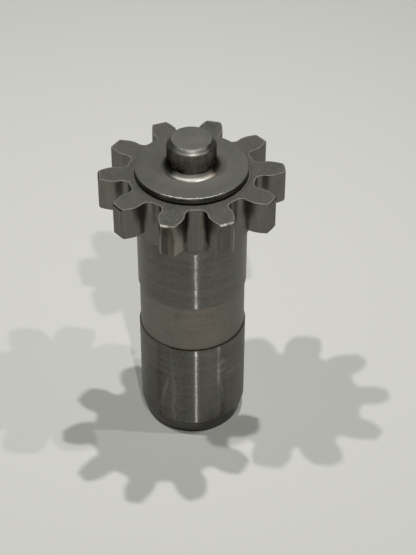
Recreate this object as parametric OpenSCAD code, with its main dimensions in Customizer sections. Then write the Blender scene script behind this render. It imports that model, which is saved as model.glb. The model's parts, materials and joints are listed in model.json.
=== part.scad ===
/* [Teeth] */
// Number of teeth round the gear
teeth = 10; // [8:1:16]
// Pitch diameter divided by the number of teeth
tooth_module = 3.63; // [3.2:0.01:4.5]
// Height of a tooth above the pitch circle
addendum = 2.82; // [2:0.01:3.4]
// Depth of a tooth space below the pitch circle
dedendum = 3.65; // [2.8:0.01:3.9]
// Pressure angle of the involute flanks in degrees
pressure_angle = 20; // [18:0.5:25]
// Metal left off each flank for running backlash, measured along the pitch circle
flank_relief = 0.13; // [0:0.01:0.3]
// Radius of the fillet between a flank and the root
root_fillet = 1.7; // [0.3:0.05:2]
// Length of the teeth along the axis
face_width = 7.9; // [4:0.1:16]
// Edge break on the two end corners of each tooth tip
tip_edge = 0.3; // [0.05:0.05:0.8]

/* [Nose pin] */
// Diameter of the pin at the gear end
pin_d = 11.1; // [6:0.1:16]
// Length of the pin above the thrust collar
pin_length = 7.1; // [4.5:0.1:20]
// Fillet between the pin and the collar
pin_fillet = 1.2; // [0.3:0.1:2]
// Length of the pin's end chamfer along the axis
pin_chamfer_length = 0.75; // [0.2:0.05:2]
// Width of the pin's end chamfer across the axis
pin_chamfer_width = 1.05; // [0.2:0.05:2]

/* [Thrust collar] */
// Diameter of the collar that carries end thrust
collar_d = 25.6; // [22:0.1:27]
// Height of the collar above the gear's face
collar_height = 1.8; // [1.2:0.1:4]
// Edge break round the collar's top
collar_edge = 0.3; // [0.05:0.05:0.5]
// Height of the undercut at the collar's foot
undercut_height = 0.45; // [0.1:0.05:0.6]
// Depth of the undercut into the collar
undercut_depth = 0.4; // [0.1:0.05:0.8]

/* [Shoulder] */
// Height of the shoulder below the gear, at the root diameter of the teeth
shoulder_height = 3.8; // [1:0.1:10]
// Edge break on the shoulder's lower corner
shoulder_edge = 0.3; // [0.05:0.05:0.8]

/* [Journals] */
// Diameter of the two bearing journals
journal_d = 25.4; // [18:0.1:26]
// Length of the upper journal, from the shoulder to the relief
upper_journal_length = 18.05; // [8:0.05:40]
// Length of the relief band between the journals
relief_length = 13.0; // [4:0.1:30]
// How far the relief band lies below the journals' surface
relief_depth = 0.34; // [0.1:0.01:1]
// Width of the fine groove where the relief meets the lower journal
corner_groove_width = 0.3; // [0.1:0.05:0.8]
// Depth of that groove below the relief band
corner_groove_depth = 0.12; // [0.05:0.01:0.4]
// Length of the lower journal that is ground to full diameter
lower_journal_length = 23.55; // [10:0.05:50]

/* [Lead end] */
// Length of the taper that leads the shaft into its bearing
lead_length = 4.1; // [1:0.1:8]
// Angle of that taper from the axis in degrees
lead_angle = 14; // [5:1:30]

/* [Hidden] */
$fn = 128;

// Radii of the gear
pitch_r = teeth * tooth_module / 2;
outside_r = pitch_r + addendum;
root_r = pitch_r - dedendum;
base_r = pitch_r * cos(pressure_angle);

// Radii of the turned shaft
journal_r = journal_d / 2;
relief_r = journal_r - relief_depth;
groove_r = relief_r - corner_groove_depth;
lead_r = journal_r - lead_length * tan(lead_angle);
shoulder_r = root_r;
collar_r = collar_d / 2;
undercut_r = collar_r - undercut_depth;
pin_r = pin_d / 2;

// Heights of the shaft's stations above its lead end
lower_journal_z = lead_length;
relief_z = lower_journal_z + lower_journal_length;
upper_journal_z = relief_z + relief_length;
shoulder_z = upper_journal_z + upper_journal_length;
gear_z = shoulder_z + shoulder_height;
collar_z = gear_z + face_width;
pin_z = collar_z + collar_height;
top_z = pin_z + pin_length;

// Points along each curved flank, and along each root fillet
flank_steps = 10;
fillet_steps = 6;
// How far a tooth reaches into the shaft that carries it
tooth_seat = 1.5;
// How far a flank runs on past the tip before the blank trims it
flank_overrun = 0.4;
// How far a root fillet dips below the root surface, so that the two meet cleanly
fillet_dip = 0.02;
// How far the pin's fillet reaches into the pin and the collar
fillet_seat = 0.3;

// Involute angle in degrees at a pressure angle
function involute(angle) = tan(angle) * 180 / PI - angle;

// A point given by its radius and its angle
function polar(r, angle) = [r * cos(angle), r * sin(angle)];

// Half of a tooth's angle at the base circle
base_half_angle = 90 / teeth - flank_relief / pitch_r * 180 / PI + involute(pressure_angle);

// Half of a tooth's angle at a radius outside the base circle
function half_angle(r) = base_half_angle - involute(acos(base_r / r));

// Centre of the root fillet, which touches the radial foot of the flank
fillet_centre_r = root_r + root_fillet - fillet_dip;
fillet_centre_angle = base_half_angle + asin(root_fillet / fillet_centre_r);
fillet_centre = polar(fillet_centre_r, fillet_centre_angle);

// The fillet's arc runs from the root surface to the foot of the flank
fillet_start_angle = fillet_centre_angle + 180;
fillet_end_angle = base_half_angle + 270;

function root_curve() = [
    for (i = [0 : fillet_steps])
        let (angle = fillet_start_angle + (fillet_end_angle - fillet_start_angle) * i / fillet_steps)
            fillet_centre + polar(root_fillet, angle)
];

// The flank, from the base circle to just past the tip
function flank_curve() = [
    for (i = [0 : flank_steps])
        let (r = base_r + (outside_r + flank_overrun - base_r) * i / flank_steps)
            polar(r, half_angle(r))
];

function mirrored(points) = [
    for (i = [len(points) - 1 : -1 : 0])
        [points[i].x, -points[i].y]
];

// One tooth that points along +X, with its foot inside the shaft
module tooth_outline() {
    foot = polar(root_r - tooth_seat, base_half_angle);
    upper_side = concat([foot], root_curve(), flank_curve());
    polygon(concat(upper_side, mirrored(upper_side)));
}

// The turned blank that the teeth are cut in, with its corners broken
module gear_blank() {
    rotate_extrude()
        polygon([
            [0, gear_z],
            [outside_r - tip_edge, gear_z],
            [outside_r, gear_z + tip_edge],
            [outside_r, collar_z - tip_edge],
            [outside_r - tip_edge, collar_z],
            [0, collar_z]
        ]);
}

module gear_teeth() {
    intersection() {
        translate([0, 0, gear_z])
            linear_extrude(height = face_width)
                for (i = [0 : teeth - 1])
                    rotate(i * 360 / teeth)
                        tooth_outline();
        gear_blank();
    }
}

// The shaft's outline from its lead end up to the pin, turned about the axis
module turned_shaft() {
    rotate_extrude()
        polygon([
            [0, 0],
            [lead_r, 0],
            [journal_r, lower_journal_z],
            [journal_r, relief_z],
            [groove_r, relief_z],
            [groove_r, relief_z + corner_groove_width],
            [relief_r, relief_z + corner_groove_width],
            [relief_r, upper_journal_z],
            [journal_r, upper_journal_z],
            [journal_r, shoulder_z],
            [shoulder_r - shoulder_edge, shoulder_z],
            [shoulder_r, shoulder_z + shoulder_edge],
            [shoulder_r, collar_z],
            [undercut_r, collar_z],
            [undercut_r, collar_z + undercut_height],
            [collar_r, collar_z + undercut_height],
            [collar_r, pin_z - collar_edge],
            [collar_r - collar_edge, pin_z],
            [pin_r, pin_z],
            [pin_r, top_z - pin_chamfer_length],
            [pin_r - pin_chamfer_width, top_z],
            [0, top_z]
        ]);
}

// The rounded corner at the foot of the pin
module pin_foot() {
    rotate_extrude()
        difference() {
            translate([pin_r - fillet_seat, pin_z - fillet_seat])
                square(pin_fillet + fillet_seat);
            translate([pin_r + pin_fillet, pin_z + pin_fillet])
                circle(r = pin_fillet);
        }
}

module drive_gear() {
    color("dimgray")
        union() {
            turned_shaft();
            pin_foot();
            gear_teeth();
        }
}

drive_gear();
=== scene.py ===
import json
import math
import bpy
from mathutils import Matrix, Vector


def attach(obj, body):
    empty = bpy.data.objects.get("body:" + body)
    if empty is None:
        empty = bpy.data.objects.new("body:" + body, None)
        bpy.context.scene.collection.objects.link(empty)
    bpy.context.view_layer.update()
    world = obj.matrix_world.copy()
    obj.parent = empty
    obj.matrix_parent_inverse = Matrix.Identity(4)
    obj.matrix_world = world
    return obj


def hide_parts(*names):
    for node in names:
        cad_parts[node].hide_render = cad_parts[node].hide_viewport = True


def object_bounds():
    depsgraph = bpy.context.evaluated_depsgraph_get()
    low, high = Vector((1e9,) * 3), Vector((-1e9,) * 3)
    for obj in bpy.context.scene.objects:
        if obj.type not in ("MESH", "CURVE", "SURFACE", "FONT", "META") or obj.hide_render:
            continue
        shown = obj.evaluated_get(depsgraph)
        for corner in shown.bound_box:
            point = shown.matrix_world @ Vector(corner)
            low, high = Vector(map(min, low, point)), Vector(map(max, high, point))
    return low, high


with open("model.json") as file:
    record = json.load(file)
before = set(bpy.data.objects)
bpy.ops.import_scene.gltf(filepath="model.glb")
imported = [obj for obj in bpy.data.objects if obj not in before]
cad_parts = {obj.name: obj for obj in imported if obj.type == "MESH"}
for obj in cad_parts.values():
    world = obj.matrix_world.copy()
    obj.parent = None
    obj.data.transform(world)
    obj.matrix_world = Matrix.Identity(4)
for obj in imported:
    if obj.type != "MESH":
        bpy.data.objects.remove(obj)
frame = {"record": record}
cad_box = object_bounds()

MM = 0.001
mounts = {mount["name"]: mount for mount in frame["record"]["mounts"]}


def height_of(name, way=0):
    """Height of a mount's middle in millimetres, or of its upper end (way 1) or its lower end (way -1)."""
    half = mounts[name]["dims"].get("length_mm", 0) / 2
    return round(mounts[name]["pos_m"][2] / MM + way * half, 3)


# The teeth, in millimetres. Their tips lie 0.01 mm inside the source's, because the solid's round surfaces
# are made of flats
TEETH = 10
PITCH_R = 18.15
TIP_R = 20.96
ROOT_R = 14.50
PRESSURE_ANGLE = math.radians(20)
BASE_R = PITCH_R * math.cos(PRESSURE_ANGLE)
FLANK_RELIEF = 0.13
ROOT_FILLET = 1.7
TIP_EDGE = 0.3
FACE_WIDTH = 7.9

# Radii of the shaft
JOURNAL_R = mounts["upper_journal"]["dims"]["r_mm"]
PIN_R = mounts["nose_pin"]["dims"]["r_mm"]
LEAD_R = 11.678
RELIEF_R = 12.36
GROOVE_R = 12.24
UNDERCUT_R = 12.4
COLLAR_R = 12.8

# Heights of the groove below the relief and of the undercut at the collar's foot
GROOVE_HEIGHT = 0.3
UNDERCUT_HEIGHT = 0.45

# Heights of the shaft's stations above its lead end
LEAD_Z = height_of("lower_journal", -1)
RELIEF_Z = height_of("lower_journal", 1)
GROOVE_TOP_Z = RELIEF_Z + GROOVE_HEIGHT
UPPER_JOURNAL_Z = height_of("upper_journal", -1)
SHOULDER_Z = height_of("shoulder_face")
GEAR_Z = height_of("tooth_mesh") - FACE_WIDTH / 2
FACE_Z = height_of("tooth_mesh") + FACE_WIDTH / 2
UNDERCUT_TOP_Z = FACE_Z + UNDERCUT_HEIGHT
COLLAR_Z = height_of("thrust_face")
PIN_FILLET = height_of("nose_pin", -1) - COLLAR_Z
TOP_Z = round(cad_box[1][2] / MM, 3)

# The pin's end chamfer, along the axis and across it. The photograph shows it 0.21 mm longer and 0.06 mm
# narrower than the source has it
CHAMFER_LENGTH = 0.96
CHAMFER_WIDTH = 0.99
CHAMFER_Z = TOP_Z - CHAMFER_LENGTH
PIN_TOP_R = PIN_R - CHAMFER_WIDTH
# How far down the pin's wall the rounding of the chamfer's lower corner reaches
CHAMFER_REACH = 0.22

# Radii that round the corners of the turned outline
LEAD_CORNER = 0.2
LEAD_BLEND = 1.5
STEP_CORNER = 0.07
SHOULDER_CORNER = 0.1
COLLAR_FOOT = 0.06
COLLAR_CORNER = 0.28
CHAMFER_BLEND = 0.5
PIN_TOP_CORNER = 0.3

# Size of the shoulder's chamfer, and where the flat ring of the gear's face ends beside the collar
SHOULDER_EDGE = 0.3
FACE_RING_R = COLLAR_R + 0.05

# Columns of faces round one tooth and its half spaces, and how many of them carry the tooth
COLUMNS = 28
TOOTH_COLUMNS = 24
PITCH_ANGLE = 2 * math.pi / TEETH
COLUMN_ANGLE = PITCH_ANGLE / COLUMNS

# Steps of a root fillet and of a flank, and the radius of one more step on the flank's radial foot
FILLET_STEPS = 10
FLANK_STEPS = 10
FLANK_FOOT_R = 16.6

# Edge breaks of the teeth in millimetres, and the smaller one at the upright corners of their tips
EDGE_BREAK = 0.18
CORNER_BREAK = 0.10
# The least angle between two faces whose edge is broken, and between two that aren't shaded as one surface
SHARP = math.radians(28)
CREASE = math.radians(30)

# How near two heights or radii are taken as the same, in millimetres, closely and more loosely
NEAR = 0.004
LEVEL = 0.01

# Width of the band round the teeth's faces that a painted highlight lightens
HIGHLIGHT_BAND = 0.26
# A tooth's whole face has more corners than any other flat face at its height
MANY_CORNERS = 50

# A nick in the collar's rim: its angle from the front in degrees, its depth in millimetres, and how far in
# from the rim and down from the face the struck metal reaches
NICK_ANGLE = -16.7
NICK_DEPTH = 0.08
NICK_IN = 0.2
NICK_DOWN = 0.3

# Finishes, as material slots of the part
(THRUST_FACE, PIN_TOP, TOOTH_FACE, OUTLINE, CUT, GROUND, RELIEF, PIN_WALL, PIN_EDGE, FOOT, RIM, LEAD, EDGE,
 GROOVE) = range(14)

# Colour of the bare steel, which each finish darkens or lightens, and of the brown film on it
STEEL = (1.0, 0.985, 0.89)
BROWN_FILM = (1.13, 0.97, 0.80)
# Colour of the streaks that ground steel draws out of the lamps
STREAK = (0.25, 0.245, 0.228, 1)
# The side of the shaft that faces the front, round which painted highlights and painted shade are placed,
# as an angle from the front in degrees
FRONT_SIDE = -4

# The photograph's view: the camera turned round the part, raised, rolled and so many metres from its target
VIEW_TURN = math.radians(-4.02)
VIEW_RISE = math.radians(39.559)
VIEW_ROLL = math.radians(0.185)
VIEW_DISTANCE = 0.3474
VIEW_TARGET = (0.003709, 0, 0.039726)
# Focal length and height of the image in pixels, and height of the camera's sensor in millimetres
FOCAL_PIXELS = 1472.4
IMAGE_PIXELS = 555
SENSOR = 36

# The floor's colour, two places along Y in metres, and how much of that colour the floor has at each.
# Painted shade darkens the floor in front and painted light lightens it behind
BOARD = (0.63, 0.627, 0.585)
BOARD_Y = (-0.12, 0.30)
BOARD_SHADE = (0.795, 1.275)
# Past the lamps' reach the floor still shows pale: the middle of the lit area, the distances from it where
# that starts and is full, and how bright and of what colour it then is
LIT_MIDDLE = (0.0, 0.09, 0.0)
LIT_REACH = (0.165, 0.58)
FAR_FLOOR = 0.56
FAR_COLOUR = (1.0, 0.995, 0.93, 1)

# The room's colour and brightness, and the width of a lamp in metres
ROOM_COLOUR = (0.98, 0.98, 0.93, 1)
ROOM_LEVEL = 0.5
LAMP_SIZE = 0.014


def deselect_all():
    for obj in bpy.context.selected_objects:
        obj.select_set(False)


def rounded(corner, before, after, radius, steps):
    """Points of an arc that rounds a corner of the turned outline."""
    corner = Vector(corner)
    to_before = (Vector(before) - corner).normalized()
    to_after = (Vector(after) - corner).normalized()
    half = to_before.angle(to_after) / 2
    reach = radius / math.tan(half)
    centre = corner + (to_before + to_after).normalized() * radius / math.sin(half)
    start = corner + to_before * reach
    end = corner + to_after * reach
    points = []
    for i in range(steps + 1):
        way = (start - centre).lerp(end - centre, i / steps).normalized()
        points.append(tuple(centre + way * radius))
    return points


def turned_outline():
    """Radius and height of each station of the shaft from its lead end up, with the corners rounded."""
    # Each corner has its place, the radius of its arc and the arc's steps, both 0 where it is left sharp
    plain = [
        ((LEAD_R, 0), LEAD_CORNER, 3),
        ((JOURNAL_R, LEAD_Z), LEAD_BLEND, 5),
        ((JOURNAL_R, RELIEF_Z), STEP_CORNER, 2),
        ((GROOVE_R, RELIEF_Z), 0, 0),
        ((GROOVE_R, GROOVE_TOP_Z), 0, 0),
        ((RELIEF_R, GROOVE_TOP_Z), 0, 0),
        ((RELIEF_R, UPPER_JOURNAL_Z), 0, 0),
        ((JOURNAL_R, UPPER_JOURNAL_Z), STEP_CORNER, 2),
        ((JOURNAL_R, SHOULDER_Z), 0, 0),
        ((ROOT_R - SHOULDER_EDGE, SHOULDER_Z), SHOULDER_CORNER, 2),
        ((ROOT_R, SHOULDER_Z + SHOULDER_EDGE), SHOULDER_CORNER, 2),
        ((ROOT_R, GEAR_Z), 0, 0),
        ((ROOT_R, FACE_Z), 0, 0),
        ((FACE_RING_R, FACE_Z), 0, 0),
        ((UNDERCUT_R, FACE_Z), 0, 0),
        ((UNDERCUT_R, UNDERCUT_TOP_Z), 0, 0),
        ((COLLAR_R, UNDERCUT_TOP_Z), COLLAR_FOOT, 2),
        ((COLLAR_R, COLLAR_Z), COLLAR_CORNER, 5),
        ((PIN_R, COLLAR_Z), PIN_FILLET, 12),
        ((PIN_R, CHAMFER_Z), CHAMFER_BLEND, 6),
        ((PIN_TOP_R, TOP_Z), PIN_TOP_CORNER, 5),
    ]
    corners = [(0, 0)] + [corner for corner, _, _ in plain] + [(0, TOP_Z)]
    outline = []
    for i, (corner, radius, steps) in enumerate(plain):
        if radius:
            outline += rounded(corner, corners[i], corners[i + 2], radius, steps)
        else:
            outline.append(corner)
    return outline


def half_angle(r):
    """Half of a tooth's angle at a radius. Inside the base circle the flank is radial."""
    def involute(angle):
        return math.tan(angle) - angle
    at_base = math.pi / (2 * TEETH) - FLANK_RELIEF / PITCH_R + involute(PRESSURE_ANGLE)
    return at_base - involute(math.acos(BASE_R / r)) if r > BASE_R else at_base


def flank_points():
    """Points of one flank from the root fillet to the tip, as (x, y) for a tooth along +X."""
    foot = half_angle(BASE_R)
    centre_r = ROOT_R + ROOT_FILLET
    centre_angle = foot + math.asin(ROOT_FILLET / centre_r)
    centre_x = centre_r * math.cos(centre_angle)
    centre_y = centre_r * math.sin(centre_angle)
    start = centre_angle + math.pi
    end = foot + 1.5 * math.pi
    points = []
    for i in range(1, FILLET_STEPS + 1):
        angle = start + (end - start) * i / FILLET_STEPS
        points.append((centre_x + ROOT_FILLET * math.cos(angle), centre_y + ROOT_FILLET * math.sin(angle)))
    flank_height = TIP_R - TIP_EDGE - BASE_R
    radii = [BASE_R + flank_height * i / FLANK_STEPS for i in range(FLANK_STEPS + 1)]
    for r in [FLANK_FOOT_R] + radii + [TIP_R]:
        points.append((r * math.cos(half_angle(r)), r * math.sin(half_angle(r))))
    return points


def in_edit_mode(choose, work, kind="FACE"):
    """Selects faces, edges or points by their place, then works on them in edit mode."""
    bpy.ops.object.mode_set(mode="EDIT")
    bpy.ops.mesh.select_mode(type=kind)
    bpy.ops.mesh.select_all(action="DESELECT")
    bpy.ops.object.mode_set(mode="OBJECT")
    choose(bpy.context.object.data)
    bpy.ops.object.mode_set(mode="EDIT")
    work()
    bpy.ops.object.mode_set(mode="OBJECT")


def turn_one_space(outline):
    """One tenth of the turned blank: an arc of the lead end, drawn up station by station."""
    bpy.ops.mesh.primitive_circle_add(vertices=TEETH * COLUMNS, radius=outline[0][0] * MM)
    edge = PITCH_ANGLE / 2 + COLUMN_ANGLE / 4

    def outside(mesh):
        for v in mesh.vertices:
            v.select = abs(math.atan2(v.co.y, v.co.x)) > edge
    in_edit_mode(outside, lambda: bpy.ops.mesh.delete(type="VERT"), "VERT")

    bpy.ops.object.mode_set(mode="EDIT")
    bpy.ops.mesh.select_mode(type="EDGE")
    bpy.ops.mesh.select_all(action="SELECT")
    last_r, last_z = outline[0]
    for r, z in outline[1:] + [(0, outline[-1][1])]:
        bpy.ops.mesh.extrude_region_move(TRANSFORM_OT_translate={"value": (0, 0, (z - last_z) * MM)})
        wider = r / last_r
        bpy.ops.transform.resize(value=(wider, wider, 1), center_override=(0, 0, z * MM))
        last_r, last_z = r, z
    bpy.ops.object.mode_set(mode="OBJECT")

    def end_arc(mesh):
        for e in mesh.edges:
            a, b = (mesh.vertices[i].co / MM for i in e.vertices)
            along_arc = abs(a.to_2d().length - b.to_2d().length) < NEAR
            e.select = a.z < NEAR and b.z < NEAR and along_arc

    def close_end():
        bpy.ops.mesh.extrude_region_move(TRANSFORM_OT_translate={"value": (0, 0, 0)})
        bpy.ops.transform.resize(value=(0, 0, 1), center_override=(0, 0, 0))
        bpy.ops.mesh.select_all(action="SELECT")
        bpy.ops.mesh.remove_doubles(threshold=0.001 * MM)
        bpy.ops.mesh.normals_make_consistent(inside=False)
    in_edit_mode(end_arc, close_end, "EDGE")


def draw_tooth():
    """Draws the tooth out of the root surface, one step of the fillet and the involute at a time."""
    foot_angle = COLUMN_ANGLE * TOOTH_COLUMNS / 2
    reach = foot_angle + COLUMN_ANGLE / 4

    def on_the_patch(point):
        return (abs(point.to_2d().length - ROOT_R) < NEAR
                and GEAR_Z - NEAR < point.z < FACE_Z + NEAR
                and abs(math.atan2(point.y, point.x)) < reach)

    def root_patch(mesh):
        for f in mesh.polygons:
            f.select = all(on_the_patch(mesh.vertices[i].co / MM) for i in f.vertices)

    def draw_out():
        last_x = ROOT_R * math.cos(foot_angle)
        last_y = ROOT_R * math.sin(foot_angle)
        last_bulge = ROOT_R - last_x
        middle = (GEAR_Z + FACE_Z) / 2
        points = flank_points()
        for i, (x, y) in enumerate(points):
            bulge = math.hypot(x, y) - x
            at_tip = i == len(points) - 1
            tall = (FACE_WIDTH - 2 * TIP_EDGE) / FACE_WIDTH if at_tip else 1
            bpy.ops.mesh.extrude_region_move(
                TRANSFORM_OT_translate={"value": ((x - last_x) * MM, 0, 0)})
            bpy.ops.transform.resize(
                value=(bulge / last_bulge, y / last_y, tall),
                center_override=(x * MM, 0, middle * MM))
            last_x, last_y, last_bulge = x, y, bulge
    in_edit_mode(root_patch, draw_out)


def index_round():
    """Copies the finished tenth round the axis and joins the copies."""
    bpy.ops.object.mode_set(mode="EDIT")
    bpy.ops.mesh.select_mode(type="VERT")
    bpy.ops.mesh.select_all(action="SELECT")
    bpy.ops.mesh.spin(steps=TEETH - 1, angle=PITCH_ANGLE * (TEETH - 1), dupli=True,
                      center=(0, 0, 0), axis=(0, 0, 1))
    bpy.ops.mesh.select_all(action="SELECT")
    bpy.ops.mesh.remove_doubles(threshold=0.002 * MM)
    bpy.ops.mesh.normals_make_consistent(inside=False)
    bpy.ops.object.mode_set(mode="OBJECT")


def nick_rim():
    """Knocks a small nick into the collar's rim."""
    turn = math.radians(NICK_ANGLE)

    def nick_and_tip_highlight(mesh):
        for v in mesh.vertices:
            angle = math.atan2(v.co.x, -v.co.y)
            r = v.co.to_2d().length / MM
            z = v.co.z / MM
            on_rim = r > COLLAR_R - NICK_IN and COLLAR_Z - NICK_DOWN < z < COLLAR_Z + LEVEL
            v.select = on_rim and abs(angle - turn) < COLUMN_ANGLE / 2
    inward = Vector((-math.sin(turn), math.cos(turn), -0.5)) * NICK_DEPTH * MM
    in_edit_mode(nick_and_tip_highlight, lambda: bpy.ops.transform.translate(value=inward), "VERT")


def make_gear():
    """The gear and its shaft in one piece."""
    deselect_all()
    turn_one_space(turned_outline())
    draw_tooth()
    index_round()
    nick_rim()
    piece = bpy.context.object
    piece.name = "gear_and_shaft"
    return piece


def set_camera():
    """Stands where the photograph was taken from."""
    side = Matrix.Rotation(VIEW_TURN, 3, "Z")
    target = side @ Vector(VIEW_TARGET)
    back = side @ Vector((0, -math.cos(VIEW_RISE), math.sin(VIEW_RISE)))
    right = side @ Vector((1, 0, 0))
    up = back.cross(right)
    x_axis = math.cos(VIEW_ROLL) * right + math.sin(VIEW_ROLL) * up
    y_axis = -math.sin(VIEW_ROLL) * right + math.cos(VIEW_ROLL) * up
    data = bpy.data.cameras.new("photo_view")
    data.sensor_fit = "VERTICAL"
    data.sensor_height = SENSOR
    data.lens = FOCAL_PIXELS * SENSOR / IMAGE_PIXELS
    data.clip_start = 0.01
    camera = bpy.data.objects.new("photo_view", data)
    rotation = Matrix((x_axis, y_axis, back)).transposed()
    camera.matrix_world = Matrix.Translation(target + back * VIEW_DISTANCE) @ rotation.to_4x4()
    bpy.context.scene.collection.objects.link(camera)
    bpy.context.scene.camera = camera


def add_lamp(name, place, light, tilt):
    """A round lamp, tilted past the part. light is what it adds to a white floor at the part's foot."""
    place = Vector(place)
    tilt = math.radians(tilt)
    lean = place.z / place.length
    data = bpy.data.lights.new(name, "AREA")
    data.shape = "DISK"
    data.size = LAMP_SIZE
    data.energy = light * math.pi * math.pi * place.length_squared / lean / math.cos(tilt)
    lamp = bpy.data.objects.new(name, data)
    lamp.location = place
    sideways = place.cross(Vector((0, 0, 1))).normalized()
    facing = Matrix.Rotation(tilt, 3, sideways) @ place
    lamp.rotation_euler = facing.to_track_quat("Z", "Y").to_euler()
    bpy.context.scene.collection.objects.link(lamp)


def paint_outline_highlight():
    """Makes the gear's face one face to each tooth, then marks off the band round it that carries a painted
    highlight.
    """
    def tooth_faces(every_other):
        def choose(mesh):
            for f in mesh.polygons:
                z = f.center.z / MM
                r = f.center.to_2d().length / MM
                tooth = round(math.atan2(f.center.y, f.center.x) / PITCH_ANGLE)
                in_front = abs(z - FACE_Z) < LEVEL and r > FACE_RING_R + LEVEL
                behind = abs(z - GEAR_Z) < LEVEL and r > ROOT_R - LEVEL
                f.select = (in_front or behind) and tooth % 2 == every_other
        return choose
    for every_other in (0, 1):
        in_edit_mode(tooth_faces(every_other), lambda: bpy.ops.mesh.dissolve_faces())

    def front_face(mesh):
        for f in mesh.polygons:
            f.select = abs(f.center.z / MM - FACE_Z) < LEVEL and len(f.vertices) > MANY_CORNERS

    def band():
        bpy.ops.mesh.inset(thickness=HIGHLIGHT_BAND * MM, use_boundary=True, use_even_offset=True,
                           use_select_inset=True)
        bpy.context.object.active_material_index = OUTLINE
        bpy.ops.object.material_slot_assign()
    in_edit_mode(front_face, band)


def break_tooth_edges(piece):
    """Rounds the sharp edges that the cutter leaves on the teeth, least at the tips' upright corners."""
    sides_of = {}
    for f in piece.data.polygons:
        for key in f.edge_keys:
            sides_of.setdefault(key, []).append(f)
    weights = piece.data.attributes.new("bevel_weight_edge", "FLOAT", "EDGE")
    for e in piece.data.edges:
        sides = sides_of.get(e.key, [])
        if len(sides) != 2 or sides[0].normal.angle(sides[1].normal) < SHARP:
            continue
        a, b = (piece.data.vertices[i].co / MM for i in e.vertices)
        low = min(a.z, b.z)
        high = max(a.z, b.z)
        near, far = sorted((a.to_2d().length, b.to_2d().length))
        if low < GEAR_Z - LEVEL or high > FACE_Z + LEVEL or near < ROOT_R - 2 * LEVEL:
            continue
        at_tip = far > TIP_R - TIP_EDGE - LEVEL
        on_flank = far > ROOT_R + 2 * LEVEL
        if at_tip and high - low > 5 * LEVEL:
            weights.data[e.index].value = CORNER_BREAK / EDGE_BREAK
        elif at_tip or on_flank or low > FACE_Z - LEVEL:
            weights.data[e.index].value = 1
    breaks = piece.modifiers.new("edge_breaks", "BEVEL")
    breaks.limit_method = "WEIGHT"
    breaks.width = EDGE_BREAK * MM
    breaks.segments = 2
    breaks.material = EDGE
    breaks.use_clamp_overlap = True
    bpy.ops.object.modifier_apply(modifier=breaks.name)


def steady_normals(piece):
    """Keeps the flat faces flat next to their rounded edges."""
    deselect_all()
    piece.select_set(True)
    bpy.context.view_layer.objects.active = piece
    bpy.ops.object.shade_smooth_by_angle(angle=CREASE)
    weighted = piece.modifiers.new("steady", "WEIGHTED_NORMAL")
    weighted.keep_sharp = True
    bpy.ops.object.modifier_apply(modifier=weighted.name)


class Nodes:
    """Adds nodes to a node tree. An input is a number or the output of another node."""

    def __init__(self, tree):
        self.tree = tree

    def add(self, kind, inputs=None, **settings):
        node = self.tree.nodes.new(kind)
        for key, value in settings.items():
            setattr(node, key, value)
        for key, value in (inputs or {}).items():
            self.join(value, node.inputs[key])
        return node

    def join(self, value, socket):
        if isinstance(value, bpy.types.NodeSocket):
            self.tree.links.new(value, socket)
        else:
            socket.default_value = value

    def math(self, operation, a, b=0.5):
        return self.add("ShaderNodeMath", {0: a, 1: b}, operation=operation).outputs[0]

    def times(self, a, b):
        return self.math("MULTIPLY", a, b)

    def without(self, value):
        """What a value leaves of 1."""
        return self.math("SUBTRACT", 1.0, value)

    def apart(self, a, b):
        """How far apart two values are."""
        return self.math("ABSOLUTE", self.math("SUBTRACT", a, b))

    def together(self, *values):
        """The sum of several values."""
        total = values[0]
        for value in values[1:]:
            total = self.math("ADD", total, value)
        return total

    def combine(self, x, y, z):
        return self.add("ShaderNodeCombineXYZ", {0: x, 1: y, 2: z}).outputs[0]

    def vector(self, operation, a, b):
        node = self.add("ShaderNodeVectorMath", {0: a, 1: b}, operation=operation)
        return node.outputs[1] if operation == "DISTANCE" else node.outputs[0]

    def length(self, vector):
        return self.add("ShaderNodeVectorMath", {0: vector}, operation="LENGTH").outputs[1]

    def scale(self, vector, amount):
        return self.add("ShaderNodeVectorMath", {0: vector, "Scale": amount}, operation="SCALE").outputs[0]

    def spread(self, value, low, high, from_low=0.0, from_high=1.0, smooth=False):
        """Stretches a value from one range onto another."""
        return self.add("ShaderNodeMapRange", {
            "Value": value, "From Min": from_low, "From Max": from_high, "To Min": low, "To Max": high,
        }, interpolation_type="SMOOTHSTEP" if smooth else "LINEAR").outputs[0]

    def rise(self, value, start, end):
        return self.spread(value, 0.0, 1.0, start, end)

    def fall(self, value, start, end):
        return self.spread(value, 1.0, 0.0, start, end)

    def fade(self, value, start, end):
        """Falls softly from 1 to 0."""
        return self.spread(value, 1.0, 0.0, start, end, smooth=True)

    def seen(self):
        """1 for what the eye and shiny metal see, 0 for the light that falls on the part."""
        path = self.add("ShaderNodeLightPath")
        return self.math("MAXIMUM", path.outputs["Is Camera Ray"], path.outputs["Is Glossy Ray"])


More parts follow.
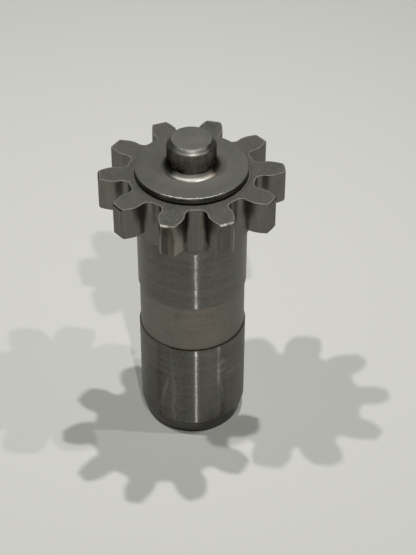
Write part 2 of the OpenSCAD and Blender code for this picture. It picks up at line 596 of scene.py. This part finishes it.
class Finish(Nodes):
    """The node tree of one finish, with the place on the part in millimetres."""

    def __init__(self, name):
        self.material = bpy.data.materials.new(name)
        self.material.use_nodes = True
        super().__init__(self.material.node_tree)
        self.shader = self.tree.nodes["Principled BSDF"]
        where = self.add("ShaderNodeTexCoord").outputs["Object"]
        self.mm = self.scale(where, 1 / MM)
        self.x, self.y, self.z = self.add("ShaderNodeSeparateXYZ", {0: self.mm}).outputs
        self.radius = self.length(self.combine(self.x, self.y, 0.0))
        self.angle = self.math("ARCTAN2", self.x, self.times(self.y, -1.0))

    def noise(self, scale, detail=2.0, roughness=0.5, vector=None):
        return self.add("ShaderNodeTexNoise", {
            "Vector": vector or self.mm, "Scale": scale, "Detail": detail, "Roughness": roughness,
        }).outputs[0]

    def marks(self, along_x, along_y, along_z):
        """Fine lines that a tool leaves, drawn out along the directions with small numbers."""
        return self.noise(1.0, 3.0, 0.6, self.vector("MULTIPLY", self.mm, (along_x, along_y, along_z)))

    def rings(self, pitch):
        """Fine rings that a facing tool leaves round the axis, a little uneven."""
        lay = self.math("ADD", self.times(self.radius, pitch), self.times(self.z, pitch))
        uneven = self.combine(lay, self.times(self.x, 0.06), self.times(self.y, 0.06))
        return self.noise(1.0, 2.0, 0.6, uneven)

    def patches(self, most):
        """How brown the film is all over the part, in soft patches up to a share."""
        return self.spread(self.noise(0.3, 3.0), 0.0, most, 0.42, 0.68)

    def relief(self, lines, grain, share):
        """Surface relief of which the tool's lines make up a share and the grain the rest."""
        return self.together(self.times(lines, share), self.times(grain, 1 - share))

    def vary(self, noise, low, high):
        """Spreads a noise, which mostly lies from 0.3 to 0.7, between two values."""
        return self.spread(noise, low, high, 0.3, 0.7)

    def swing(self, noise, amount):
        """A noise turned into a change of tone, as much up as down."""
        return self.vary(noise, -amount, amount)

    def around(self, centre, inner, outer):
        """1 within the inner angle of a direction on the part, 0 past the outer one."""
        turned = self.apart(self.angle, math.radians(centre))
        return self.fade(turned, math.radians(inner), math.radians(outer))

    def front(self, inner, outer):
        """1 on the front side up to the inner angle, 0 past the outer one."""
        return self.around(FRONT_SIDE, inner, outer)

    def band(self, height, half):
        """A soft band round the part at a height."""
        return self.fade(self.apart(self.z, height), 0.0, half)

    def spot(self, angle, height, wide, tall, soft=0.6, round_r=JOURNAL_R):
        """A soft patch on a round surface, by its angle from the front, its height and its half sizes."""
        across = self.times(self.math("SUBTRACT", self.angle, math.radians(angle)), round_r / wide)
        up = self.math("DIVIDE", self.math("SUBTRACT", self.z, height), tall)
        return self.fade(self.length(self.combine(across, up, 0.0)), 1 - soft, 1.0)

    def smudge(self, x, y, size, soft=0.7):
        """A soft round patch on a flat face."""
        away = self.vector("DISTANCE", self.combine(self.x, self.y, 0.0), (x, y, 0))
        return self.fade(away, size * (1 - soft), size)

    def trace(self, low, high, bow, wide):
        """A thin line up the shaft between two points, each an angle from the front and a height."""
        way = self.rise(self.z, low[1], high[1])
        line = self.spread(way, math.radians(low[0]), math.radians(high[0]))
        bulge = self.times(self.times(way, self.without(way)), 4 * math.radians(bow))
        off = self.times(self.math("SUBTRACT", self.angle, self.math("ADD", line, bulge)), JOURNAL_R)
        thin = self.fade(self.math("ABSOLUTE", off), 0.0, wide)
        ends = self.times(self.rise(way, 0.0, 0.12), self.fall(way, 0.88, 1.0))
        return self.times(thin, ends)

    def make(self, shade, tone, rough, height, depth, edge=0.5, brown=None):
        """Joins colour, roughness and relief to the shader. shade is how much the steel reflects."""
        steel = (*(c * shade for c in STEEL), 1)
        film = (*(c * shade for c in BROWN_FILM), 1)
        if brown is None:
            brown = self.patches(0.3)
        hue = self.add("ShaderNodeMix", {0: brown, 6: steel, 7: film}, data_type="RGBA").outputs[2]
        self.bump = self.add("ShaderNodeBump", {
            "Strength": 1.0, "Distance": depth * MM, "Height": height}).outputs[0]
        self.join(self.scale(hue, tone), self.shader.inputs["Base Color"])
        self.join(rough, self.shader.inputs["Roughness"])
        self.join(self.bump, self.shader.inputs["Normal"])
        self.shader.inputs["Metallic"].default_value = 1
        self.shader.inputs["Specular Tint"].default_value = (edge, edge, edge, 1)
        return self.material


def pale_board():
    """A plain pale board, with painted shade a little darker in front and painted light behind, which shows
    pale to the eye past the lamps' reach too.
    """
    mat = bpy.data.materials.new("pale_board")
    mat.use_nodes = True
    board = Nodes(mat.node_tree)
    shader = mat.node_tree.nodes["Principled BSDF"]
    where = board.add("ShaderNodeTexCoord").outputs["Object"]
    depth = board.add("ShaderNodeSeparateXYZ", {0: where}).outputs["Y"]
    board.join(board.scale(BOARD, board.spread(depth, *BOARD_SHADE, *BOARD_Y)), shader.inputs["Base Color"])
    shader.inputs["Roughness"].default_value = 0.9
    shader.inputs["Specular IOR Level"].default_value = 0.1
    far = board.spread(board.vector("DISTANCE", where, LIT_MIDDLE), 0.0, FAR_FLOOR, *LIT_REACH, smooth=True)
    board.join(board.times(far, board.seen()), shader.inputs["Emission Strength"])
    shader.inputs["Emission Color"].default_value = FAR_COLOUR
    return mat


def lay_floor():
    deselect_all()
    bpy.ops.mesh.primitive_plane_add(size=4, location=(0, 0, 0))
    floor = bpy.context.object
    floor.name = "floor"
    floor.data.materials.append(pale_board())


def light_the_room():
    """A pale room that the eye and the metal see, while the lamps alone light the part."""
    world = bpy.data.worlds.new("room")
    world.use_nodes = True
    room = Nodes(world.node_tree)
    back = world.node_tree.nodes["Background"]
    back.inputs["Color"].default_value = ROOM_COLOUR
    room.join(room.spread(room.seen(), 0.0, ROOM_LEVEL), back.inputs["Strength"])
    bpy.context.scene.world = world


def faced_steel(name, shade, speckle):
    """Faces turned with a facing tool: matt, with faint rings, a fine grain and a few smudges."""
    f = Finish(name)
    rings = f.rings(3.0)
    grain = f.noise(1.9, 4.0, 0.75)
    cloud = f.noise(0.3, 3.0)
    coarse = f.times(f.swing(grain, 0.6 * speckle), f.around(-16, 10, 24))
    tone = f.together(
        f.vary(cloud, 0.93, 1.07),
        f.swing(rings, 0.04),
        f.swing(grain, speckle),
        coarse,
        f.times(f.smudge(5.6, 17.6, 1.9), -0.12),
        # Painted light: the faces are lighter towards the back
        f.times(f.rise(f.y, 0, 15), 0.10))
    rough = f.together(f.vary(cloud, 0.62, 0.68), f.swing(grain, 0.03))
    height = f.relief(rings, grain, 0.6)
    return f.make(shade, tone, rough, height, depth=0.004)


def thrust_face():
    """The collar's face: faced flat, with a painted highlight in front of the pin, and painted shade beside
    it and on its left side.
    """
    f = Finish("thrust_face")
    rings = f.rings(3.0)
    grain = f.noise(3.0, 3.0)
    cloud = f.noise(0.3, 3.0)
    front = f.front(45, 72)
    # Painted shade beside the pin, and a painted highlight in front of it
    painted_pin_shade = f.times(f.fade(f.radius, 6.1, 7.1), f.without(front))
    shine = f.times(f.fade(f.radius, 7.0, 10.5), front)
    tone = f.together(
        f.vary(cloud, 0.95, 1.05),
        f.swing(rings, 0.03),
        f.swing(grain, 0.06),
        f.times(painted_pin_shade, -0.55),
        f.times(shine, 0.22),
        # Painted shade on the left side of the face
        f.times(f.around(-90, 20, 70), -0.12))
    rough = f.together(f.vary(cloud, 0.62, 0.68), f.swing(grain, 0.03))
    height = f.relief(rings, grain, 0.6)
    return f.make(0.107, tone, rough, height, depth=0.004)


def cut_steel():
    """Tooth flanks, lands and roots: marks of the cutter run along the axis, with a patchy brown film."""
    f = Finish("cut_steel")
    lines = f.marks(5.0, 5.0, 0.25)
    stripes = f.marks(1.8, 1.8, 0.12)
    grain = f.noise(3.0, 3.0, 0.6)
    cloud = f.noise(0.35, 3.0)

    # The lands of the two front teeth: a dark film on the left one with painted light on its right side and
    # flank, a thin film on the right one, and a painted highlight line on each
    film = f.together(
        f.spot(-18.4, 66, 2.1, 7.0, 0.35, TIP_R),
        f.times(f.spot(-17.5, 69.0, 1.6, 1.8, 0.6, TIP_R), 0.4))
    thin_film = f.spot(17, 66, 2.4, 7.0, 0.4, TIP_R)
    painted_flank_light = f.spot(-11.6, 63.4, 1.5, 6.0, 0.6, TIP_R)
    painted_flank_light_top = f.spot(-13.7, 68.8, 0.8, 2.6, 0.7, TIP_R)
    stripe = f.spot(-16.4, 65, 0.6, 8.0, 0.6, TIP_R)
    bright = f.spot(21.3, 65.5, 0.9, 6.0, 0.8, TIP_R)
    # Painted shade in the two corners at the foot of the front tooth space
    sides = f.together(f.around(-9.0, 1.2, 3.6), f.around(9.4, 1.2, 3.6))
    corners = f.times(sides, f.fall(f.radius, 17.6, 18.6))

    tone = f.together(
        f.vary(cloud, 0.90, 1.06),
        f.swing(lines, 0.06),
        f.swing(stripes, 0.10),
        f.swing(grain, 0.09),
        f.times(film, -0.42),
        f.times(thin_film, -0.24),
        f.times(painted_flank_light, 0.72),
        f.times(painted_flank_light_top, 0.4),
        f.times(stripe, 0.25),
        f.times(bright, 0.25),
        f.times(corners, -0.38),
        # Painted shade on the front teeth and painted light on the tooth at the left
        f.times(f.front(32, 50), -0.07),
        f.times(f.around(-90, 12, 24), 0.12),
        0.07)
    rough = f.together(f.vary(cloud, 0.33, 0.39), f.times(film, 0.06), f.times(painted_flank_light, 0.10))
    brown = f.together(f.times(film, 0.5), f.times(painted_flank_light, 0.3), f.spread(stripes, 0.0, 0.4, 0.4, 0.7))
    height = f.relief(lines, grain, 0.7)
    return f.make(0.152, tone, rough, height, depth=0.003, edge=0.6, brown=brown)


def painted_streak_traces(f):
    """Faint painted highlight lines on the lower journal, where the side lamps' streaks break up."""
    return f.together(
        f.trace((-45.9, 5.2), (-28.6, 19.4), 0.0, 0.65),
        f.trace((-38.8, 4.5), (-31, 16.5), -3.0, 0.6),
        f.trace((-22, 12.4), (-27.5, 19.4), 1.5, 0.55),
        f.trace((-22.5, 9.5), (-29, 16.8), 1.0, 0.5),
        f.trace((-26.5, 7.6), (-22.5, 12.0), -1.5, 0.55),
        f.trace((-25.5, 4.6), (-25.5, 8.0), 2.0, 0.55),
        f.trace((32.0, 8.5), (25.1, 19.0), 1.5, 0.6),
        f.trace((25.4, 4.6), (25.1, 18.3), 1.6, 0.6))


def journal_light_and_shade(f, upper, below):
    """Painted light and painted shade on the journals: lighter patches, a lighter upper journal and darker
    sides.
    """
    return f.together(
        f.times(f.spot(-20, 2, 5.0, 12, 0.9), 0.36),
        f.times(f.spot(18, 13, 3.6, 19, 0.7), 0.34),
        f.times(f.spot(15, 26, 2.8, 5, 0.7), 0.22),
        f.times(f.spot(-27, 14, 4.5, 14, 0.8), 0.12),
        f.times(f.spot(-34, 12, 1.6, 11, 0.8), 0.16),
        f.times(f.times(below, f.around(-54, 8, 20)), -0.20),
        f.times(f.spot(-18, 15, 3.8, 13, 0.9), 0.24),
        f.times(f.spot(-6, 56.2, 6.5, 1.9, 0.6), 0.30),
        f.times(f.times(f.around(40, 24, 50), upper), 0.13),
        f.times(upper, 0.13),
        f.times(f.times(f.around(-48, 8, 30), upper), -0.14))


def polished(f, rough, stretch):
    """Steel polished along the grinding lines, which draws a lamp out into a streak along the shaft."""
    return f.add("ShaderNodeBsdfAnisotropic", {
        "Color": STREAK, "Roughness": rough, "Anisotropy": stretch, "Normal": f.bump,
    }, distribution="GGX").outputs[0]


def ground_steel():
    """Journals ground to size: fine lines round the shaft, which draw each light out into a streak."""
    f = Finish("ground_steel")
    lines = f.marks(0.05, 0.05, 1.8)
    fine = f.marks(0.25, 0.25, 4.0)
    grain = f.noise(1.8, 4.0, 0.65)
    cloud = f.noise(0.25, 3.0)
    wave = f.noise(0.5, 1.0)
    ripple = f.marks(0.9, 0.9, 1.2)
    upper = f.rise(f.z, RELIEF_Z, UPPER_JOURNAL_Z)
    below = f.fall(f.z, RELIEF_Z, RELIEF_Z + 1)

    # A dull film that stops the streaks: all down the left of the lower journal and in patches elsewhere
    film = f.together(
        f.times(f.around(-27, 14, 22), below),
        f.spot(24.5, 6, 3.6, 15, 0.6),
        f.times(f.times(f.around(25, 8, 12), below), 0.3),
        f.spot(27, 40.7, 2.0, 1.5, 0.5),
        f.times(f.spot(25, 25.5, 2.6, 6.5, 0.8), 0.38))
    # Thin brown veins and stains at the right of the lower journal, and a dull patch under them
    vein = f.fade(f.apart(f.noise(0.7, 2.0), 0.5), 0.0, 0.04)
    veins = f.times(vein, f.spot(40, 20.0, 6.0, 5.0, 0.6))
    stain_and_side_shade = f.together(
        f.spot(31.3, 22.6, 1.1, 1.2, 0.6),
        f.spot(30.0, 19.6, 1.5, 0.7, 0.7),
        f.spot(45, 17.6, 1.6, 0.7, 0.7),
        f.spot(56.4, 17.4, 1.0, 1.0, 0.7))
    dull = f.spot(44, 14.5, 2.2, 2.6, 0.8)
    # A painted highlight at the foot of the lower journal
    painted_foot_glint = f.spot(-7, 4.4, 1.7, 0.35)

    tone = f.together(
        f.vary(cloud, 0.92, 1.06),
        f.swing(lines, 0.20),
        f.swing(fine, 0.14),
        f.swing(grain, 0.30),
        f.times(painted_streak_traces(f), 0.40),
        f.times(veins, 0.50),
        f.times(stain_and_side_shade, 0.75),
        f.times(dull, -0.18),
        f.times(painted_foot_glint, 0.5),
        journal_light_and_shade(f, upper, below))
    rough = f.together(f.vary(cloud, 0.40, 0.46), f.times(upper, -0.08))
    brown = f.together(f.patches(0.5), f.times(veins, 0.7), stain_and_side_shade)
    height = f.together(f.times(wave, 0.6), f.times(ripple, upper), f.times(grain, 0.08))
    material = f.make(0.100, tone, rough, height, depth=0.02, edge=0.9, brown=brown)

    # How bright the streak is along the shaft. It fades out just under the shoulder, where the wheel ran out
    glint = f.together(
        f.times(f.band(56.2, 1.0), 0.25),
        f.times(f.band(52.1, 0.6), -0.4),
        f.times(f.band(45.8, 0.8), 0.70),
        f.times(f.band(43.6, 1.1), -0.35),
        f.times(f.band(41.4, 0.9), 0.70),
        f.band(26.6, 1.4),
        f.swing(f.marks(0.8, 0.8, 2.2), 0.45),
        f.times(upper, -0.15),
        1.0)
    run_out = f.fall(f.z, SHOULDER_Z - 1.6, SHOULDER_Z - 0.9)
    clear = f.math("MAXIMUM", f.math("SUBTRACT", run_out, f.times(film, 0.9)), 0.0)
    soft = f.add("ShaderNodeMixShader", {
        0: f.times(clear, 0.15), 1: f.shader.outputs[0], 2: polished(f, 0.46, 0.764)}).outputs[0]
    both = f.add("ShaderNodeMixShader", {
        0: f.times(f.times(clear, 0.30), glint), 1: soft, 2: polished(f, 0.33, 0.88)}).outputs[0]
    f.join(both, f.tree.nodes["Material Output"].inputs["Surface"])
    return material


def relief_steel():
    """The relief between the journals: turned and left, a little lighter and browner."""
    f = Finish("relief_steel")
    lines = f.marks(0.2, 0.2, 2.0)
    grain = f.noise(2.4, 4.0, 0.6)
    cloud = f.noise(0.2, 3.0)
    specks = f.times(f.spot(-19.5, 38.2, 1.1, 1.3), f.rise(grain, 0.45, 0.6))
    tone = f.together(
        f.vary(cloud, 0.93, 1.05),
        f.swing(lines, 0.10),
        f.swing(grain, 0.12),
        f.times(specks, -0.35),
        # Painted highlight: lighter in front
        f.times(f.around(4, 10, 45), 0.07),
        -0.02)
    brown = f.together(f.spread(cloud, 0.0, 0.4, 0.35, 0.65), f.times(f.around(4, 10, 40), 0.35))
    height = f.relief(lines, grain, 0.6)
    return f.make(0.176, tone, f.vary(cloud, 0.46, 0.52), height, depth=0.003, edge=0.8, brown=brown)


def pin_wall():
    """The nose pin's wall: turned, dark and speckled, most of all near its foot, with painted shade low down
    at its sides, at its foot and on its left.
    """
    f = Finish("pin_wall")
    lines = f.marks(0.3, 0.3, 2.4)
    grain = f.noise(1.8, 4.0, 0.7)
    cloud = f.noise(0.5, 3.0)
    low = f.fade(f.z, COLLAR_Z + 1.0, COLLAR_Z + 4.8)
    foot = f.fade(f.z, COLLAR_Z + 1.1, COLLAR_Z + 2.2)
    side = f.without(f.around(4, 4, 40))
    left = f.fade(f.angle, math.radians(-34), math.radians(4))
    tone = f.together(
        f.vary(cloud, 0.95, 1.15),
        f.swing(lines, 0.10),
        f.swing(grain, 0.35),
        f.times(low, f.swing(grain, 0.35)),
        # Painted shade on the left, low down at the sides and at the foot
        f.times(left, -0.20),
        f.times(f.times(low, side), -0.62),
        f.times(foot, -0.15))
    rusty = f.spot(-52, 76.3, 2.2, 1.8, 0.8, PIN_R)
    brown = f.together(f.spread(grain, 0.0, 0.6, 0.4, 0.65), f.times(rusty, 0.6))
    height = f.relief(lines, grain, 0.5)
    return f.make(0.165, tone, f.vary(cloud, 0.33, 0.39), height, depth=0.004, edge=0.05, brown=brown)


def pin_edge():
    """The pin's end chamfer: two painted highlight lines in front, painted shade between them and at the top
    edge, and painted shade at the sides.
    """
    f = Finish("pin_edge")
    lines = f.marks(0.6, 0.6, 3.0)
    grain = f.noise(2.0, 3.0, 0.6)
    low = f.fade(f.z, CHAMFER_Z + 0.12, CHAMFER_Z + 0.30)
    top = f.band(TOP_Z - 0.24, 0.20)
    brim = f.rise(f.z, TOP_Z - 0.10, TOP_Z - 0.03)
    centre = f.around(-2, 4, 30)
    gap = f.times(f.band(CHAMFER_Z + 0.50, 0.22), f.math("SUBTRACT", f.around(0, 34, 60), centre))
    low_highlight = f.together(f.times(f.around(0, 20, 48), 0.80), f.times(f.around(0, 2, 17), 1.1))
    # Painted highlights on the chamfer's corners, with painted shade between them and at its top edge
    painted_light_and_shade = f.together(
        f.times(low, low_highlight),
        f.times(gap, -0.35),
        f.times(f.times(top, f.around(-2, 3, 32)), 0.45),
        f.times(brim, -0.30))
    turned = f.apart(f.angle, math.radians(FRONT_SIDE))
    stain_and_side_shade = f.fade(f.apart(turned, math.radians(66)), math.radians(12), math.radians(32))
    tone = f.together(
        f.vary(grain, 0.85, 1.15),
        f.swing(lines, 0.10),
        painted_light_and_shade,
        f.times(stain_and_side_shade, -0.60),
        f.times(centre, 0.12),
        f.times(f.front(10, 44), -0.12))
    return f.make(0.13, tone, f.vary(grain, 0.42, 0.48), grain, depth=0.004, edge=0.8)


def pin_foot():
    """The fillet at the pin's foot: a painted highlight in front, and painted shade at the sides and behind.
    """
    f = Finish("pin_foot")
    lines = f.marks(0.6, 0.6, 3.0)
    grain = f.noise(2.0, 3.0, 0.6)
    front = f.around(1, 33, 57)
    middle = f.around(0, 4, 30)
    centre = f.together(
        f.spread(f.radius, 1.0, 0.5, PIN_R + 0.05, PIN_R + 0.18, smooth=True),
        f.spread(f.radius, 0.0, 0.85, PIN_R + 0.24, PIN_R + 0.56, smooth=True),
        f.spread(f.radius, 0.0, -0.55, PIN_R + 0.85, PIN_R + 1.20, smooth=True))
    side = f.spread(f.radius, 0.68, 0.50, PIN_R + 0.85, PIN_R + 1.20, smooth=True)
    painted_highlight = f.math("ADD", side, f.times(middle, f.math("SUBTRACT", centre, side)))
    painted_fillet_shade = f.spread(f.radius, 0.06, 0.24, PIN_R + 0.3, PIN_R + PIN_FILLET)
    painted_light_and_shade = f.together(f.times(painted_highlight, front), f.times(painted_fillet_shade, f.without(front)))
    tone = f.times(f.together(f.vary(grain, 0.85, 1.15), f.swing(lines, 0.10)), painted_light_and_shade)
    brown = f.spread(f.angle, 0.0, 1.0, math.radians(15), math.radians(50), smooth=True)
    return f.make(0.38, tone, f.vary(grain, 0.50, 0.56), grain, depth=0.004, edge=0.5, brown=brown)


def collar_rim():
    """The collar's rim, with a painted highlight in front and a painted glint at the nick in it, and its wall
    below, with a painted highlight band and a painted dark line in front and painted shade at the sides.
    """
    f = Finish("collar_rim")
    lines = f.marks(0.3, 0.3, 3.0)
    grain = f.noise(2.6, 3.0, 0.7)
    cloud = f.noise(0.5, 3.0)
    wall = f.fall(f.z, COLLAR_Z - 0.32, COLLAR_Z - 0.22)
    side = f.without(f.around(2, 28, 60))
    painted_nick_glint = f.spot(NICK_ANGLE, COLLAR_Z, 0.55, 0.70, 0.6, COLLAR_R)
    painted_highlight = f.spot(-9.5, COLLAR_Z, 1.9, 0.45, 0.6, COLLAR_R)
    tone = f.together(
        f.vary(cloud, 0.95, 1.15),
        f.swing(lines, 0.07),
        f.swing(grain, 0.10),
        # Painted highlights on the rim and the wall, and painted shade at the wall's sides
        f.times(painted_nick_glint, 1.8),
        f.times(painted_highlight, 0.8),
        f.times(f.times(wall, side), -0.80),
        f.times(f.times(f.band(COLLAR_Z - 0.95, 0.35), f.around(0, 8, 24)), 0.6),
        f.times(f.times(f.band(COLLAR_Z - 0.48, 0.2), f.around(0, 8, 24)), -0.35))
    height = f.relief(lines, grain, 0.5)
    return f.make(0.13, tone, f.vary(cloud, 0.32, 0.36), height, depth=0.004, edge=0.8)


def lead_end():
    """The taper that leads the shaft into its bearing: turned, with painted shade where it meets the floor
    and at its sides, and a darker band just below the journal.
    """
    f = Finish("lead_end")
    lines = f.marks(0.3, 0.3, 3.0)
    grain = f.noise(2.6, 3.0, 0.7)
    cloud = f.noise(0.5, 3.0)
    tone = f.together(
        f.vary(cloud, 0.92, 1.08),
        f.swing(lines, 0.07),
        f.swing(grain, 0.12),
        f.times(f.fall(f.z, 0.1, 0.8), -0.55),
        f.times(f.band(LEAD_Z - 0.5, 0.35), -0.3),
        f.times(f.without(f.front(30, 60)), -0.12))
    height = f.relief(lines, grain, 0.5)
    return f.make(0.104, tone, f.vary(cloud, 0.38, 0.42), height, depth=0.004, edge=0.8)


def tooth_edges():
    """Broken edges of the teeth, with painted highlights on the two front ones and painted shade under the
    tips and on the left side.
    """
    f = Finish("tooth_edges")
    lines = f.marks(0.5, 0.5, 3.0)
    grain = f.noise(2.4, 3.0, 0.6)
    outer = f.rise(f.radius, TIP_R - 0.6, TIP_R - 0.35)
    tip = f.times(outer, f.rise(f.z, FACE_Z - 0.8, FACE_Z - 0.4))
    under = f.times(outer, f.fall(f.z, FACE_Z - 0.28, FACE_Z - 0.17))
    # Painted highlights on the tips of the two front teeth, and painted shade on the other tips
    nick_and_tip_highlight = f.together(
        f.times(f.around(-20.3, 1.6, 3.6), 0.95),
        f.times(f.around(15.4, 1.3, 3.4), 0.95),
        f.times(f.around(20.5, 0.8, 2.5), 0.45),
        -0.45)
    # Painted highlights up the upright corners of the front teeth
    upright = f.together(
        f.spot(-22.7, 65.0, 0.9, 4.6, 0.5, TIP_R),
        f.times(f.spot(22.7, 65.5, 0.9, 5.5, 0.5, TIP_R), 0.75),
        f.times(f.spot(13.6, 65.0, 0.5, 4.8, 0.4, TIP_R), 0.40))
    tone = f.together(
        f.vary(grain, 0.85, 1.15),
        f.swing(lines, 0.08),
        f.times(tip, nick_and_tip_highlight),
        # Painted shade under the tips, at the left corner of the right front tooth and on the left side
        f.times(under, -0.45),
        upright,
        f.times(f.around(13.6, 1.0, 1.6), -0.10),
        f.times(f.around(-75, 30, 55), -0.25))
    brown = f.together(f.patches(0.5), f.times(f.around(-15.5, 1.5, 2.6), 0.8))
    return f.make(0.225, tone, f.vary(grain, 0.48, 0.56), grain, depth=0.004, edge=0.8, brown=brown)


def dark_groove():
    """Narrow grooves that hold old, oily dirt, with painted shade that makes them darkest under the collar.
    """
    f = Finish("dark_groove")
    grain = f.noise(3.0, 2.0)
    tone = f.together(f.vary(grain, 0.8, 1.2), f.times(f.rise(f.z, 40, 50), -0.65))
    return f.make(0.09, tone, f.vary(grain, 0.5, 0.6), grain, depth=0.002, edge=0.4, brown=0.8)


def zone_of(f):
    """The finish of one face, by its place on the part."""
    z = f.center.z / MM
    r = f.center.to_2d().length / MM
    # How far the face looks along the axis: 1 on a flat face, 0 on a wall
    axial = abs(f.normal.z)
    sloped = 0.5 < axial < 0.9
    nearly_flat = axial > 0.95
    flat = axial > 0.985
    if z > COLLAR_Z + PIN_FILLET:
        if z < CHAMFER_Z - CHAMFER_REACH:
            return PIN_WALL
        return PIN_TOP if r < PIN_TOP_R and nearly_flat else PIN_EDGE
    if z > COLLAR_Z - LEVEL:
        return THRUST_FACE if r > PIN_R + PIN_FILLET - 2 * LEVEL else FOOT
    if z > FACE_Z - LEVEL:
        if r > FACE_RING_R + LEVEL:
            return TOOTH_FACE
        return RIM if z > UNDERCUT_TOP_Z + LEVEL else GROOVE
    if z > SHOULDER_Z - LEVEL:
        if r > TIP_R - TIP_EDGE - 5 * LEVEL and sloped:
            return EDGE
        # How far off the middle of its tooth the face lies, and where the last column of the land starts
        off = (math.atan2(f.center.y, f.center.x) / PITCH_ANGLE + 0.5) % 1 - 0.5
        last_column = half_angle(TIP_R) * (1 - 2 / TOOTH_COLUMNS)
        if r > TIP_R - 2 * LEVEL and abs(off) * PITCH_ANGLE > last_column:
            return EDGE
        return TOOTH_FACE if flat else CUT
    if GROOVE_TOP_Z + LEVEL < z < UPPER_JOURNAL_Z + LEVEL and r < JOURNAL_R - 10 * LEVEL:
        return RELIEF
    if RELIEF_Z - 2 * LEVEL < z < GROOVE_TOP_Z + LEVEL:
        return GROOVE
    return GROUND if z > LEAD_Z - 5 * LEVEL else LEAD


def dress(piece):
    """Gives each zone of the part the finish that its tool left, in the order of the slots."""
    finishes = (
        thrust_face(),
        faced_steel("pin_top", shade=0.114, speckle=0.06),
        faced_steel("tooth_face", shade=0.087, speckle=0.26),
        # A painted highlight round the outline of each tooth's face
        faced_steel("worn_outline", shade=0.145, speckle=0.20),
        cut_steel(),
        ground_steel(),
        relief_steel(),
        pin_wall(),
        pin_edge(),
        pin_foot(),
        collar_rim(),
        lead_end(),
        tooth_edges(),
        dark_groove(),
    )
    for finish in finishes:
        piece.data.materials.append(finish)
    for f in piece.data.polygons:
        f.material_index = zone_of(f)


bpy.context.scene.view_settings.view_transform = "Standard"
set_camera()
lay_floor()
light_the_room()
add_lamp("lamp_behind", place=(0.0598, 0.0761, 0.5501), light=0.428, tilt=-45)
add_lamp("lamp_left", place=(-0.1625, 0.0118, 0.5173), light=0.312, tilt=-45)
add_lamp("lamp_right", place=(0.2901, -0.0526, 0.6039), light=0.150, tilt=-45)
add_lamp("lamp_front", place=(0.0338, -0.3755, 0.5458), light=0.202, tilt=-35)

gear = make_gear()
dress(gear)
paint_outline_highlight()
break_tooth_edges(gear)
steady_normals(gear)
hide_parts("drive_gear")
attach(gear, "root")
